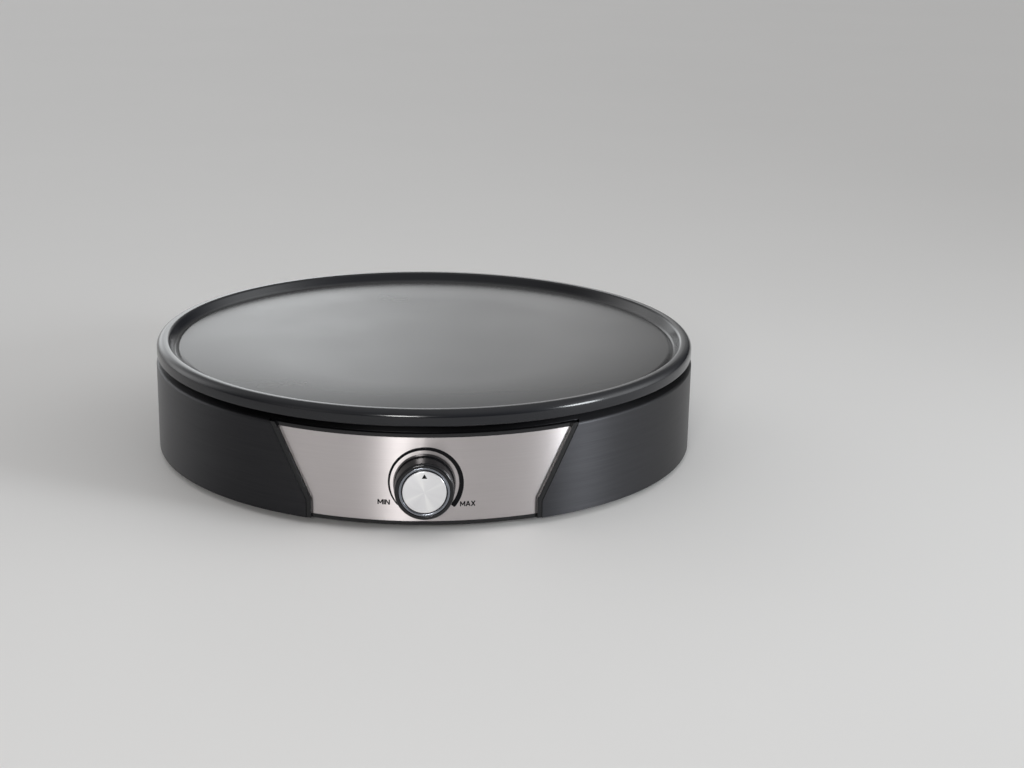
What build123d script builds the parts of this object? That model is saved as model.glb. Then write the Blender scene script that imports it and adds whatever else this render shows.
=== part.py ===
from build123d import *
import math
import os

# Electric crepe maker, in millimetres. The origin is on the counter, below the middle
# of the plate. +Z is up and the control panel faces -Y.

# Drum
drum_radius = 200.5
drum_bottom = 4.5
deck_top = 68.0
sheet = 1.5
well_radius = 171.5
well_floor = 52.0
well_hole = 12.0
flange_inner = 187.0
floor_slot = (26.0, 5.0)
floor_slot_ring = 40.0
floor_slot_count = 6
over_deck = deck_top + 12

# Plate
face_height = 78.3
face_radius = 184.0
gutter_depth = 2.0
plate_under = 74.5
bead_radius = 200.0
bead_top = 83.9
bead_bottom = 73.2
edge_ring_radius = 176.5
rib_count = 6
rib_depth = 3.0
carrier_radius = 161.0
carrier_angles = (90, 210, 330)
carrier_top = 70.0
carrier_screw_length = 25.0

# Heating element
channel_half = 4.3
channel_wall = 3.2
pin_radius = 3.0
element_outer = 135.0
element_inner = 78.0
element_height = 70.5
element_bend = 10.0
pin_bottom = 46.0
pin_clearance = 9.2
shield_radius = 152.0
shield_top = 66.4
shield_sheet = 0.7
shield_screw_ring = 106.5
pad_radius = 149.0

# Temperature sensor
sensor_x = -106.0
sensor_height = 71.4
sensor_radius = 3.0
sensor_length = 70.0
sensor_port = (-106.0, -63.0)
port_radius = 13.0

# Control panel
side_slope = 0.472
opening_kink = (78.9, 16.5)
panel_kink = (75.4, 18.0)
frame_gap = 0.3
frame_inner = 194.6
frame_face = 198.2
frame_rim = 200.1
frame_bottom = 4.7
rim_bevel = 1.6
recess_margin = 0.4
deck_cut_radius = 193.9
panel_back = 196.9
panel_face = 197.8
panel_top = 65.4
panel_bottom = 7.2
panel_corner = 1.0
pocket_play = 0.1
tab_size = (8.0, 6.0, 0.9)
tab_places = ((-60, 57), (60, 57), (-52, 14), (52, 14))
boss_size = (48.0, 33.0)
web_places = (-40.0, 40.0)

# Knob
knob_height = 33.85
knob_gap = 0.4
knob_base_radius = 20.8
knob_front_radius = 19.4
knob_depth = 17.0
knob_rib_count = 4
disc_radius = 14.35
ring_inner = 15.0
ring_outer = 16.9
seat_depth = 1.2
hub_radius = 6.2
hub_bottom = 1.0
spindle_radius = 3.0
spindle_rear = -14.0
spindle_front = 12.8
running_gap = 0.05
spindle_flat = 2.0

# Thermostat, behind the panel
thermostat_front = -189.0
thermostat_rear = -155.0
thermostat_case = (32.0, 28.0)
thermostat_plate = (38.0, 30.0)
thermostat_bush = 5.0
thermostat_screw_x = 14.0
thermostat_screw_head = -195.2
blade_width = 6.3
blade_sheet = 0.8
tab_height = 26.0

# Wiring
lead_radius = 1.5
block_front = 150.0
block_depth = 18.0
block_height = 16.0
block_width = 36.0
block_screw_places = (-5.0, 5.0)
pole_places = (-10.0, 0.0, 10.0)
pole_height = 14.0
terminal_screw_places = (154.5, 163.5)
inlet_height = 20.0
inlet_bore = 4.1
inlet_neck = 6.4
earth_place = (40.0, 120.0)
fuse_height = 48.2
fuse_wire_reach = (-13.5, 12.0)

# Bottom
cover_radius = 197.6
cover_ring = (120.4, 135.6)
cover_ring_height = 2.4
vent_count = 18
vent_size = (52.0, 4.5)
vent_ring = 75.0
foot_ring = 165.0
foot_radius = 12.0
foot_stem = 4.1
foot_height = 9.5
foot_places = {"rear_right": 45, "rear_left": 135, "front_left": 225, "front_right": 315}
cover_screw_ring = 193.0
cover_screw_angles = (0, 55, 125, 180, 222, 318)
frame_screw_ring = 190.0
frame_screw_angles = (-108, -90, -72)


def turned(points, rounds=None):
    """A solid turned about Z from an outline of (radius, height) points.

    rounds gives a radius for some of the corners, by their place in the outline.
    """
    outline = make_face(Plane.XZ * Polyline(*points, close=True))
    for place, radius in (rounds or {}).items():
        r, z = points[place]
        corner = outline.vertices().sort_by_distance((r, 0, z))[0]
        outline = fillet(corner, radius)
    return revolve(outline, Axis.Z)


def at_polar(radius, angle, height=0.0):
    """The place at a radius and an angle in degrees about Z."""
    turn = math.radians(angle)
    return (radius * math.cos(turn), radius * math.sin(turn), height)


def rod(place, radius, low, high):
    """An upright cylinder at (x, y) from one height to another."""
    return Pos(place[0], place[1], (low + high) / 2) * Cylinder(radius, high - low)


def forward_rod(x, z, radius, rear, front):
    """A cylinder along Y between two values of y."""
    return Pos(x, (rear + front) / 2, z) * Rot(90, 0, 0) * Cylinder(radius, abs(front - rear))


def front_prism(kink, low, high, inset=0.0, corner=0.0):
    """The panel's outline seen from the front, drawn out towards -Y.

    It narrows downwards in straight lines to the kink and is upright below it.
    """
    half_low = kink[0] - inset
    half_high = half_low + side_slope * (high - kink[1])
    outline = make_face(
        Plane.XZ
        * Polyline(
            (-half_high, high),
            (-half_low, kink[1]),
            (-half_low, low),
            (half_low, low),
            (half_low, kink[1]),
            (half_high, high),
            close=True,
        )
    )
    if corner:
        outline = fillet(outline.vertices(), corner)
    return extrude(outline, amount=230)


def tube(path, radius):
    """A round bar along a path of tangent lines and arcs."""
    start = Plane(origin=path @ 0, z_dir=path % 0)
    return sweep(start * Circle(radius), path=path)


def bend_centre():
    """Centre of the bend that joins the element's outer and inner turns."""
    return at_polar((element_outer + element_inner) / 2, -100, element_height)


def heating_element():
    """Sheathed element pressed flat on top: an outer turn, a bend back and an inner turn."""
    level = (0, 0, element_height)
    outer = CenterArc(level, element_outer, -80, 340)
    back = CenterArc(bend_centre(), (element_outer - element_inner) / 2, -100, 180)
    inner = CenterArc(level, element_inner, -100, -320)
    turns = sweep(element_section(outer @ 0, outer % 0), path=Wire([outer, back, inner]))
    element = turns + cold_end(outer @ 0, Vector(outer % 0) * -1) + cold_end(inner @ 1, inner % 1)
    for place in pin_places():
        element += rod(place, pin_radius, pin_bottom, element_height - element_bend)
    return element


def element_section(point, heading):
    """The element's section, upright, across a level heading."""
    outline = Polyline((-3.4, 4), (3.4, 4), (4, 3), (1.6, -4), (-1.6, -4), (-4, 3), close=True)
    across = Vector(0, 0, 1).cross(Vector(heading))
    return Plane(origin=point, x_dir=across, z_dir=heading) * make_face(outline)


def cold_end(point, heading):
    """The bend out of a turn and down to a pin."""
    centre = Vector(point) - Vector(0, 0, element_bend)
    across = Vector(0, 0, 1).cross(Vector(heading))
    return revolve(element_section(point, heading), Axis(centre, across), 90)


def pin_places():
    """Where the element's two pins stand, as (x, y)."""
    outer_end = math.radians(-80)
    inner_end = math.radians(-60)
    first = (
        element_outer * math.cos(outer_end) + element_bend * math.sin(outer_end),
        element_outer * math.sin(outer_end) - element_bend * math.cos(outer_end),
    )
    last = (
        element_inner * math.cos(inner_end) + element_bend * math.sin(inner_end),
        element_inner * math.sin(inner_end) - element_bend * math.cos(inner_end),
    )
    return (first, last)


def annulus(radius, half_width, low, high):
    """A flat ring about Z."""
    inner = radius - half_width
    outer = radius + half_width
    return turned([(inner, low), (outer, low), (outer, high), (inner, high)])


def hotplate():
    """Cast plate: a flat face, a gutter, a raised bead and a ribbed underside."""
    plate = turned(
        [
            (0, plate_under),
            (0, face_height),
            (face_radius - 0.5, face_height),
            (face_radius + 1.5, face_height - gutter_depth + 0.4),
            (face_radius + 2.4, face_height - gutter_depth),
            (face_radius + 3.0, face_height - gutter_depth),
            (face_radius + 3.8, face_height - gutter_depth + 0.6),
            (face_radius + 7.2, bead_top),
            (bead_radius, bead_top),
            (bead_radius, bead_bottom + 1.2),
            (bead_radius - 1.2, bead_bottom),
            (edge_ring_radius, bead_bottom),
            (edge_ring_radius - 1.3, plate_under),
        ],
        {7: 1.8, 8: 5.0},
    )
    for ring in (element_outer, element_inner):
        plate += annulus(ring, channel_half + channel_wall, element_height, plate_under)
    rib = Pos(100, 0, plate_under - rib_depth / 2) * Box(172, 4, rib_depth)
    for turn in range(rib_count):
        plate += Rot(0, 0, 30 + turn * 360 / rib_count) * rib
    for angle in carrier_angles:
        plate += rod(at_polar(carrier_radius, angle), 7, carrier_top, plate_under)
    for place in shield_screw_places():
        plate += rod(place, 5, shield_top, plate_under)
    for ring in (element_outer, element_inner):
        plate -= annulus(ring, channel_half, element_height - 1, plate_under)
    x, y, _ = bend_centre()
    bend_radius = (element_outer - element_inner) / 2
    plate -= Pos(x, y, 0) * annulus(bend_radius, channel_half, element_height - 1, plate_under)
    for angle in carrier_angles:
        plate -= rod(at_polar(carrier_radius, angle), 3.1, carrier_top - 1, face_height - 1.8)
    for place in shield_screw_places():
        plate -= rod(place, 1.6, shield_top - 1, 73)
    return plate


def shield_screw_places():
    """Where the shield is screwed to the plate."""
    return [at_polar(shield_screw_ring, angle) for angle in (45, 135, 225, 315)]


def element_terminals():
    """A sleeve with a flat tab on the lower end of each pin."""
    pieces = []
    for x, y in pin_places():
        sleeve = rod((x, y), pin_radius + 1, 44, 50) - rod((x, y), pin_radius, pin_bottom, 51)
        tab = Pos(x + 8, y, fuse_height) * Box(9, blade_width, blade_sheet)
        pieces.append(sleeve + tab)
    return pieces


def heat_shield():
    """Reflector below the element, with a rim turned down."""
    low = shield_top - shield_sheet
    shield = turned(
        [
            (14, low),
            (14, shield_top),
            (shield_radius, shield_top),
            (shield_radius, 60),
            (shield_radius - shield_sheet, 60),
            (shield_radius - shield_sheet, low),
        ]
    )
    for place in shield_screw_places():
        shield -= rod(place, 1.8, low - 1, shield_top + 1)
    for place in pin_places():
        shield -= rod(place, pin_clearance, low - 1, shield_top + 1)
    return shield - rod(sensor_port, port_radius, low - 1, shield_top + 1)


def insulation_pad():
    """Mineral wool disc between the shield and the floor of the well."""
    high = shield_top - shield_sheet - 0.1
    pad = turned([(14, well_floor), (14, high), (pad_radius, high), (pad_radius, well_floor)])
    for place in shield_screw_places():
        pad -= rod(place, 4.5, well_floor - 1, high + 1)
    for place in pin_places():
        pad -= rod(place, pin_clearance, well_floor - 1, high + 1)
    return pad - rod(sensor_port, port_radius, well_floor - 1, high + 1)


def screw(head_radius, head_height, shank_radius, length):
    """A pan head screw that points up, with the underside of its head at height 0."""
    return turned(
        [
            (0, -head_height),
            (head_radius * 0.7, -head_height),
            (head_radius, -head_height * 0.5),
            (head_radius, 0),
            (shank_radius, 0),
            (shank_radius, length),
            (0, length),
        ]
    )


def plate_spacers():
    """Ceramic tubes that carry the plate on the floor of the well."""
    pieces = []
    for angle in carrier_angles:
        place = at_polar(carrier_radius, angle)
        outside = rod(place, 7, well_floor, carrier_top)
        pieces.append(outside - rod(place, 3.3, well_floor - 1, carrier_top + 1))
    return pieces


def base_shell():
    """Drum of sheet steel: a wall, a deck and a well, cut open for the panel."""
    shell = turned(
        [
            (drum_radius, drum_bottom),
            (drum_radius, deck_top),
            (well_radius, deck_top),
            (well_radius, well_floor),
            (well_hole, well_floor),
            (well_hole, well_floor - sheet),
            (well_radius + sheet, well_floor - sheet),
            (well_radius + sheet, deck_top - sheet),
            (drum_radius - sheet, deck_top - sheet),
            (drum_radius - sheet, drum_bottom + 2 * sheet),
            (flange_inner, drum_bottom + 2 * sheet),
            (flange_inner, drum_bottom + sheet),
            (drum_radius - sheet, drum_bottom + sheet),
            (drum_radius - sheet, drum_bottom),
        ],
        {1: 1.8},
    )
    opening = front_prism(opening_kink, 0, over_deck)
    shell -= opening - Pos(0, 0, 40) * Cylinder(deck_cut_radius, 100)
    shell -= forward_rod(0, inlet_height, inlet_neck + 0.2, 185, 215)
    under = well_floor - sheet - 1
    over = well_floor + 1
    for angle in carrier_angles:
        shell -= rod(at_polar(carrier_radius, angle), 3.3, under, over)
    for place in pin_places():
        shell -= rod(place, 6.5, under, over)
    shell -= rod(sensor_port, port_radius, under, over)
    shell -= rod(earth_place, 2.1, under, over)
    for angle in frame_screw_angles:
        shell -= rod(at_polar(frame_screw_ring, angle), 1.7, 5, 10)
    for angle in cover_screw_angles:
        shell -= rod(at_polar(cover_screw_ring, angle), 1.5, 5, 10)
    slot = Pos(floor_slot_ring, 0, well_floor) * Box(*floor_slot, 6)
    for turn in range(floor_slot_count):
        shell -= Rot(0, 0, turn * 360 / floor_slot_count) * slot
    return shell


def control_frame():
    """Curved moulding in the drum's opening, with bevelled bands beside the panel."""
    frame = turned(
        [
            (frame_inner, frame_bottom),
            (frame_rim, frame_bottom),
            (frame_rim, deck_top - 0.6),
            (frame_rim - 0.6, deck_top),
            (frame_inner, deck_top),
        ]
    )
    frame &= front_prism(opening_kink, 0, over_deck, inset=frame_gap)
    recess = turned(
        [
            (frame_face, -5),
            (frame_face, deck_top - 1),
            (frame_face - 1, deck_top),
            (frame_face - 1, 90),
            (220, 90),
            (220, -5),
        ]
    )
    frame -= recess & front_prism(panel_kink, -4, over_deck, inset=-recess_margin)
    frame = chamfer(band_edges(frame), rim_bevel)
    seat = panel_back - pocket_play
    low = panel_bottom - pocket_play
    high = panel_top + pocket_play
    pocket = turned([(seat, 0), (seat, over_deck), (220, over_deck), (220, 0)])
    frame -= pocket & front_prism(panel_kink, low, high, inset=-pocket_play, corner=panel_corner)
    for low in (deck_top - sheet - 2.1, drum_bottom + 2 * sheet + 0.1):
        flange = annulus((184 + frame_inner + 0.4) / 2, (frame_inner + 0.4 - 184) / 2, low, low + 2)
        frame += flange & (Pos(0, -190, low + 1) * Box(140, 40, 4))
    boss_depth = 195 + thermostat_front
    frame += Pos(0, (thermostat_front - 195) / 2, knob_height) * Box(boss_size[0], boss_depth, boss_size[1])
    for x in web_places:
        frame += Pos(x, -188, 35.5) * Box(2, 7, 55)
    frame -= forward_rod(0, knob_height, thermostat_bush + 0.3, -180, -200)
    for x in (-thermostat_screw_x, thermostat_screw_x):
        frame -= forward_rod(x, knob_height, 2.2, -180, -200)
        frame -= forward_rod(x, knob_height, 3.8, thermostat_screw_head, -200)
    for x, z in tab_places:
        frame -= panel_tab(x, z, 0.5)
    for angle in frame_screw_angles:
        frame -= rod(at_polar(frame_screw_ring, angle), 1.5, 5, 12)
    return frame


def band_edges(frame):
    """The long edges where the bands beside the panel meet the frame's recess."""
    found = []
    for edge in frame.edges():
        middle = edge @ 0.5
        on_rim = abs(math.hypot(middle.X, middle.Y) - frame_rim) < 0.01
        edge_of_recess = panel_kink[0] + recess_margin
        if middle.Z > panel_kink[1]:
            edge_of_recess += side_slope * (middle.Z - panel_kink[1])
        inside = abs(abs(middle.X) - edge_of_recess) < 0.5
        if on_rim and inside and edge.length > 5:
            found.append(edge)
    return found


def panel_tab(x, z, clearance=0.0):
    """A tab on the back of the panel that goes through a slot in the frame."""
    angle = math.degrees(math.asin(x / panel_back))
    width, reach, height = tab_size
    tab = Pos(0, reach / 2 - panel_back - 0.4, z) * Box(width + 2 * clearance, reach, height + 2 * clearance)
    return Rot(0, 0, angle) * tab


def front_panel():
    """Curved brushed fascia with holes for the spindle and the screws under the knob."""
    panel = turned([(panel_back, 0), (panel_face, 0), (panel_face, over_deck), (panel_back, over_deck)])
    panel &= front_prism(panel_kink, panel_bottom, panel_top, corner=panel_corner)
    panel -= forward_rod(0, knob_height, thermostat_bush + 1, -190, -205)
    for x in (-thermostat_screw_x, thermostat_screw_x):
        panel -= forward_rod(x, knob_height, 4.2, -190, -205)
    for x, z in tab_places:
        panel += panel_tab(x, z)
    return panel


def thermostat_body():
    """Capillary thermostat: a case, a mounting plate, a bush and two tabs."""
    middle = (thermostat_front + 2 + thermostat_rear) / 2
    depth = thermostat_rear - thermostat_front - 2
    case = Pos(0, middle, knob_height) * Box(thermostat_case[0], depth, thermostat_case[1])
    case = fillet(case.edges().filter_by(Axis.Y), 3)
    plate = Pos(0, thermostat_front + 1, knob_height) * Box(thermostat_plate[0], 2, thermostat_plate[1])
    body = case + plate + forward_rod(0, knob_height, thermostat_bush, thermostat_front, -196)
    body -= forward_rod(0, knob_height, spindle_radius + running_gap, -182, -200)
    for x in (-thermostat_screw_x, thermostat_screw_x):
        body -= forward_rod(x, knob_height, 2.05, -178, -200)
    for x in (-8, 8):
        body += Pos(x, thermostat_rear + 3.5, tab_height) * Box(blade_width, 8, blade_sheet)
    return body


def thermostat_screws():
    """Two screws through the frame, hidden by the knob."""
    pieces = []
    for x in (-thermostat_screw_x, thermostat_screw_x):
        place = Plane(origin=(x, thermostat_screw_head, knob_height), z_dir=(0, 1, 0))
        pieces.append(place * screw(3.5, 1.9, 2.0, 15))
    return pieces


def knob_plane():
    """The knob's own frame: its base on the panel's side, its Z out towards -Y."""
    base = -(panel_face + knob_gap)
    return Plane(origin=(0, base, knob_height), x_dir=(1, 0, 0), z_dir=(0, -1, 0))


def knob_body():
    """Moulded knob: a tapered skirt, a rim with two seats, a hub and inner ribs."""
    face = knob_depth - 1.4
    web = knob_depth - 3.4
    bore = spindle_radius + running_gap
    bore_end = knob_depth - 4
    knob = turned(
        [
            (knob_base_radius, 0),
            (knob_front_radius, knob_depth),
            (ring_outer + 0.05, knob_depth),
            (ring_outer + 0.05, knob_depth - seat_depth),
            (ring_inner - 0.05, knob_depth - seat_depth),
            (ring_inner - 0.05, knob_depth - 0.5),
            (disc_radius + 0.05, knob_depth - 0.5),
            (disc_radius + 0.05, face),
            (0, face),
            (0, bore_end),
            (bore, bore_end),
            (bore, hub_bottom),
            (hub_radius, hub_bottom),
            (hub_radius, web),
            (knob_front_radius - 2.4, web),
            (knob_base_radius - 2.1, 0),
        ],
        {1: 1.5},
    )
    rib = Pos(11.7, 0, 10.3) * Box(11.2, 1.2, 8.2)
    for turn in range(knob_rib_count):
        knob += Rot(0, 0, 45 + turn * 360 / knob_rib_count) * rib
    flat = Pos(0, spindle_flat + running_gap + 1, 7.5) * Box(8, 2, 13)
    knob += flat & (Pos(0, 0, 7.5) * Cylinder(spindle_radius + 0.5, 13))
    return knob_plane() * knob


def knob_cap():
    """Spun disc let into the knob's face, very slightly domed."""
    under = knob_depth - 1.4
    top = knob_depth + 0.1
    disc = turned(
        [(0, under), (0, top), (disc_radius - 0.4, top - 0.2), (disc_radius, top - 0.6), (disc_radius, under)]
    )
    return knob_plane() * disc


def knob_ring():
    """Bevelled ring in the knob's rim."""
    low = knob_depth - seat_depth
    middle = ring_inner + 0.9
    ring = turned(
        [
            (ring_inner, low),
            (ring_inner, knob_depth - 0.7),
            (middle, knob_depth),
            (ring_outer, knob_depth - 0.4),
            (ring_outer, low),
        ]
    )
    return knob_plane() * ring


def thermostat_spindle():
    """D shaft that the knob turns in the thermostat's bush."""
    length = spindle_front - spindle_rear
    shaft = Pos(0, 0, spindle_rear + length / 2) * Cylinder(spindle_radius, length)
    shaft -= Pos(0, spindle_flat + 2, spindle_front - 5.9) * Box(8, 4, 12)
    return knob_plane() * shaft


def knob_spring():
    """Open spring ring round the knob's hub."""
    ring = turned([(6.25, 2.2), (6.25, 5.4), (6.9, 5.4), (6.9, 2.2)])
    return knob_plane() * (ring - Pos(0, -6.5, 4) * Box(2.4, 4, 6))


def sensor_bulb():
    """Sensing bulb of the thermostat, under the plate."""
    bulb = Rot(90, 0, 0) * Cylinder(sensor_radius, sensor_length)
    bulb = chamfer(bulb.edges(), 1.0)
    return Pos(sensor_x, 0, sensor_height) * bulb


def bulb_clips():
    """Two straps that press the bulb against the plate."""
    outer = sensor_radius + 0.9
    ring = Circle(outer) - Circle(sensor_radius + 0.1)
    half = ring - Pos(0, outer) * Rectangle(3 * outer, 2 * outer)
    legs = plate_under - sensor_height
    profile = half
    for side in (-1, 1):
        profile += Pos(side * (outer - 0.4), legs / 2) * Rectangle(0.8, legs)
        profile += Pos(side * (outer + 2.6), legs - 0.4) * Rectangle(6, 0.8)
    strap = extrude(Plane.XZ * profile, amount=5, both=True)
    return [Pos(sensor_x, y, sensor_height) * strap for y in (-20, 20)]


def lead(name, points, radius=lead_radius):
    """A wire along straight runs joined by arcs as large as the runs allow."""
    corners = [Vector(*point) for point in points]
    radii = []
    for before, corner, after in zip(corners, corners[1:], corners[2:]):
        into = corner - before
        out = after - corner
        half_turn = math.radians(into.get_angle(out)) / 2
        radii.append(0.45 * min(into.length, out.length) / math.tan(half_turn))
    path = FilletPolyline(*points, radius=radii)
    wire = tube(path, radius)
    share = wire.volume / (math.pi * radius**2 * path.length)
    print(name, "radii", [round(r, 1) for r in radii], "volume share", round(share, 4))
    return wire


def capillary_tube():
    """Thin tube from the thermostat to its bulb."""
    return lead(
        "capillary_tube",
        [
            (-16, -170, 30),
            (-38, -170, 30),
            (-84, -124, 38),
            (-105, -80, 45),
            (-106, -56, 64),
            (-106, -46, 71.4),
            (-106, -35, 71.4),
        ],
        1.0,
    )


def wiring():
    """The leads between the terminal block, the thermostat, the fuse and the element."""
    first_pin, last_pin = pin_places()
    left_pole, middle_pole, right_pole = pole_places
    inside = block_front + 5
    fuse_x, fuse_y = fuse_place()
    return {
        "live_lead": lead(
            "live_lead",
            [
                (left_pole, inside, pole_height),
                (left_pole, 138, pole_height),
                (-30, 60, 10),
                (-34, -50, 10.5),
                (-8, -126, tab_height),
                (-8, -147.5, tab_height),
            ],
        ),
        "neutral_lead": lead(
            "neutral_lead",
            [
                (middle_pole, inside, pole_height),
                (middle_pole, 138, pole_height),
                (22, 50, 10),
                (52, -50, 12),
                (56, -112, 34),
                (40, first_pin[1], fuse_height),
                (first_pin[0] + 12.5, first_pin[1], fuse_height),
            ],
        ),
        "switched_lead": lead(
            "switched_lead",
            [
                (8, -147.5, tab_height),
                (8, -131, tab_height),
                (44, -104, 33.5),
                (88, -90, 42),
                (86, fuse_y, fuse_height),
                (fuse_x + fuse_wire_reach[1], fuse_y, fuse_height),
            ],
        ),
        "earth_lead": lead(
            "earth_lead",
            [
                (right_pole, inside, pole_height),
                (right_pole, 138, pole_height),
                (20, 120, 24),
                (28, 112, 38),
                (earth_place[0] - 6, earth_place[1] - 4.5, 48.3),
            ],
        ),
    }


def fuse_place():
    """Where the fuse lies, as (x, y), in line with the tab of the element's inner end."""
    x, y = pin_places()[1]
    return (x + 26, y)


def thermal_fuse():
    """Thermal fuse under the floor of the well, with a wire out of each end."""
    x, y = fuse_place()
    body = Rot(0, 90, 0) * Cylinder(2.1, 14)
    body = chamfer(body.edges(), 0.5)
    rear, front = fuse_wire_reach
    wire = Pos((rear + front) / 2, 0, 0) * Rot(0, 90, 0) * Cylinder(0.6, front - rear)
    return Pos(x, y, fuse_height) * (body + wire)


def fuse_clip():
    """Strap that holds the fuse to the floor of the well."""
    x, y = fuse_place()
    legs = well_floor - sheet - fuse_height
    outer = 3.0
    profile = Circle(outer) - Circle(2.2)
    profile -= Pos(0, outer) * Rectangle(3 * outer, 2 * outer)
    for side in (-1, 1):
        profile += Pos(side * (outer - 0.4), legs / 2) * Rectangle(0.8, legs)
        profile += Pos(side * (outer + 2.1), legs - 0.4) * Rectangle(5, 0.8)
    return Pos(x, y, fuse_height) * extrude(Plane.YZ * profile, amount=3, both=True)


def terminal_block():
    """Three pole ceramic block on the bottom cover."""
    low = drum_bottom + sheet
    middle = block_front + block_depth / 2
    rear = block_front + block_depth
    block = Pos(0, middle, low + block_height / 2) * Box(block_width, block_depth, block_height)
    block = chamfer(block.edges().filter_by(Axis.Z), 1.5)
    for x in pole_places:
        block -= forward_rod(x, pole_height, lead_radius + 0.3, block_front - 1, rear + 1)
    for x in block_screw_places:
        block -= rod((x, middle), 1.4, low - 1, low + block_height + 1)
    for x in pole_places:
        for y in terminal_screw_places:
            block -= rod((x, y), 2.0, low + block_height - 3, low + block_height + 1)
    return block


def terminal_screws():
    """Clamping screws of the terminal block."""
    pieces = []
    for x in pole_places:
        for y in terminal_screw_places:
            top = drum_bottom + sheet + block_height
            pieces.append(rod((x, y), 2.0, top - 3, top - 1))
    return pieces


def earth_tag():
    """Ring tag under the earth screw, with a barrel for the lead."""
    x, y = earth_place
    under = well_floor - sheet
    tag = rod((x, y), 4.5, under - 0.8, under) - rod((x, y), 2.15, under - 2, under + 1)
    return tag + Pos(x - 5.5, y - 4, under - 0.4) * Rot(0, 0, 37) * Box(6, 4, 0.8)


def bottom_cover():
    """Closing disc with a pressed ring and radial vents."""
    low = drum_bottom
    top = low + sheet
    inner, outer = cover_ring
    cover = turned(
        [
            (0, top),
            (inner - 2.4, top),
            (inner + 0.6, top + cover_ring_height),
            (outer - 0.6, top + cover_ring_height),
            (outer + 2.4, top),
            (cover_radius, top),
            (cover_radius, low),
            (outer + 3, low),
            (outer, low + cover_ring_height),
            (inner, low + cover_ring_height),
            (inner - 3, low),
            (0, low),
        ]
    )
    vent = Pos(vent_ring, 0, low) * Box(*vent_size, 10)
    for turn in range(vent_count):
        cover -= Rot(0, 0, turn * 360 / vent_count) * vent
    front = front_prism(opening_kink, -5, 30, inset=-frame_gap)
    cover -= front - Pos(0, 0, 10) * Cylinder(frame_inner - 0.4, 60)
    for angle in foot_places.values():
        cover -= rod(at_polar(foot_ring, angle), foot_stem + 0.1, 0, 10)
    for angle in cover_screw_angles:
        cover -= rod(at_polar(cover_screw_ring, angle), 1.7, 0, 10)
    for angle in frame_screw_angles:
        cover -= rod(at_polar(frame_screw_ring, angle), 1.7, 0, 10)
    for x in block_screw_places:
        cover -= rod((x, block_front + block_depth / 2), 1.4, 0, 10)
    return cover


def foot(angle):
    """Rubber foot with a stem that snaps into the bottom cover."""
    under = drum_bottom
    shape = turned(
        [
            (0, 0.8),
            (4.5, 0.8),
            (5.3, 0),
            (foot_radius - 1.4, 0),
            (foot_radius - 0.6, 0.8),
            (foot_radius, under),
            (foot_stem, under),
            (foot_stem, under + sheet + 0.1),
            (foot_stem + 0.8, under + sheet + 0.5),
            (foot_stem - 0.7, foot_height),
            (0, foot_height),
        ]
    )
    return Pos(*at_polar(foot_ring, angle)) * shape


def cord_inlet():
    """Bush in the rear wall for the mains cord."""
    bush = turned(
        [
            (inlet_bore, 0),
            (inlet_bore, 13.4),
            (8.2, 13.4),
            (9, 12.6),
            (9, 10.7),
            (inlet_neck, 10.7),
            (inlet_neck, 8.8),
            (7.4, 8.2),
            (inlet_neck, 4.5),
            (inlet_neck, 0),
        ]
    )
    inner = drum_radius + 0.1 - 10.7
    return Plane(origin=(0, inner, inlet_height), z_dir=(0, 1, 0)) * bush


def group(pieces):
    """Separate solids kept as one sub-part."""
    return Compound(children=list(pieces))


def upright_screws(places, height, *sizes, down=False):
    """Like screws at several places, with their heads below or, with down, above."""
    shape = screw(*sizes)
    if down:
        shape = Rot(180, 0, 0) * shape
    return group(Pos(place[0], place[1], height) * shape for place in places)


def subparts():
    """Every sub-part by the name of its node."""
    parts = {
        "hotplate": hotplate(),
        "heating_element": heating_element(),
        "element_terminals": group(element_terminals()),
        "heat_shield": heat_shield(),
        "shield_screws": upright_screws(
            shield_screw_places(), shield_top - shield_sheet, 3.5, 2.0, 1.5, 6.6
        ),
        "insulation_pad": insulation_pad(),
        "plate_spacers": group(plate_spacers()),
        "plate_screws": upright_screws(
            [at_polar(carrier_radius, angle) for angle in carrier_angles],
            well_floor - sheet,
            5.5,
            4.0,
            3.0,
            carrier_screw_length,
        ),
        "base_shell": base_shell(),
        "control_frame": control_frame(),
        "front_panel": front_panel(),
        "frame_screws": upright_screws(
            [at_polar(frame_screw_ring, angle) for angle in frame_screw_angles],
            drum_bottom,
            3.2,
            1.6,
            1.4,
            7,
        ),
        "thermostat_body": thermostat_body(),
        "thermostat_screws": group(thermostat_screws()),
        "capillary_tube": capillary_tube(),
        "sensor_bulb": sensor_bulb(),
        "bulb_clips": group(bulb_clips()),
        "thermal_fuse": thermal_fuse(),
        "fuse_clip": fuse_clip(),
        "terminal_block": terminal_block(),
        "terminal_screws": group(terminal_screws()),
        "block_screws": upright_screws(
            [(x, block_front + block_depth / 2) for x in block_screw_places],
            drum_bottom + sheet + block_height,
            2.4,
            1.6,
            1.3,
            17.5,
            down=True,
        ),
        "earth_tag": earth_tag(),
        "earth_screw": upright_screws([earth_place], well_floor - sheet - 0.8, 3.8, 2.4, 2.0, 2.3),
        "bottom_cover": bottom_cover(),
        "cover_screws": upright_screws(
            [at_polar(cover_screw_ring, angle) for angle in cover_screw_angles],
            drum_bottom,
            3.2,
            1.6,
            1.4,
            7,
        ),
        "cord_inlet": cord_inlet(),
        "knob_body": knob_body(),
        "knob_cap": knob_cap(),
        "knob_ring": knob_ring(),
        "thermostat_spindle": thermostat_spindle(),
        "knob_spring": knob_spring(),
    }
    parts.update(wiring())
    for name, angle in foot_places.items():
        parts["foot_" + name] = foot(angle)
    return parts


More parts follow.
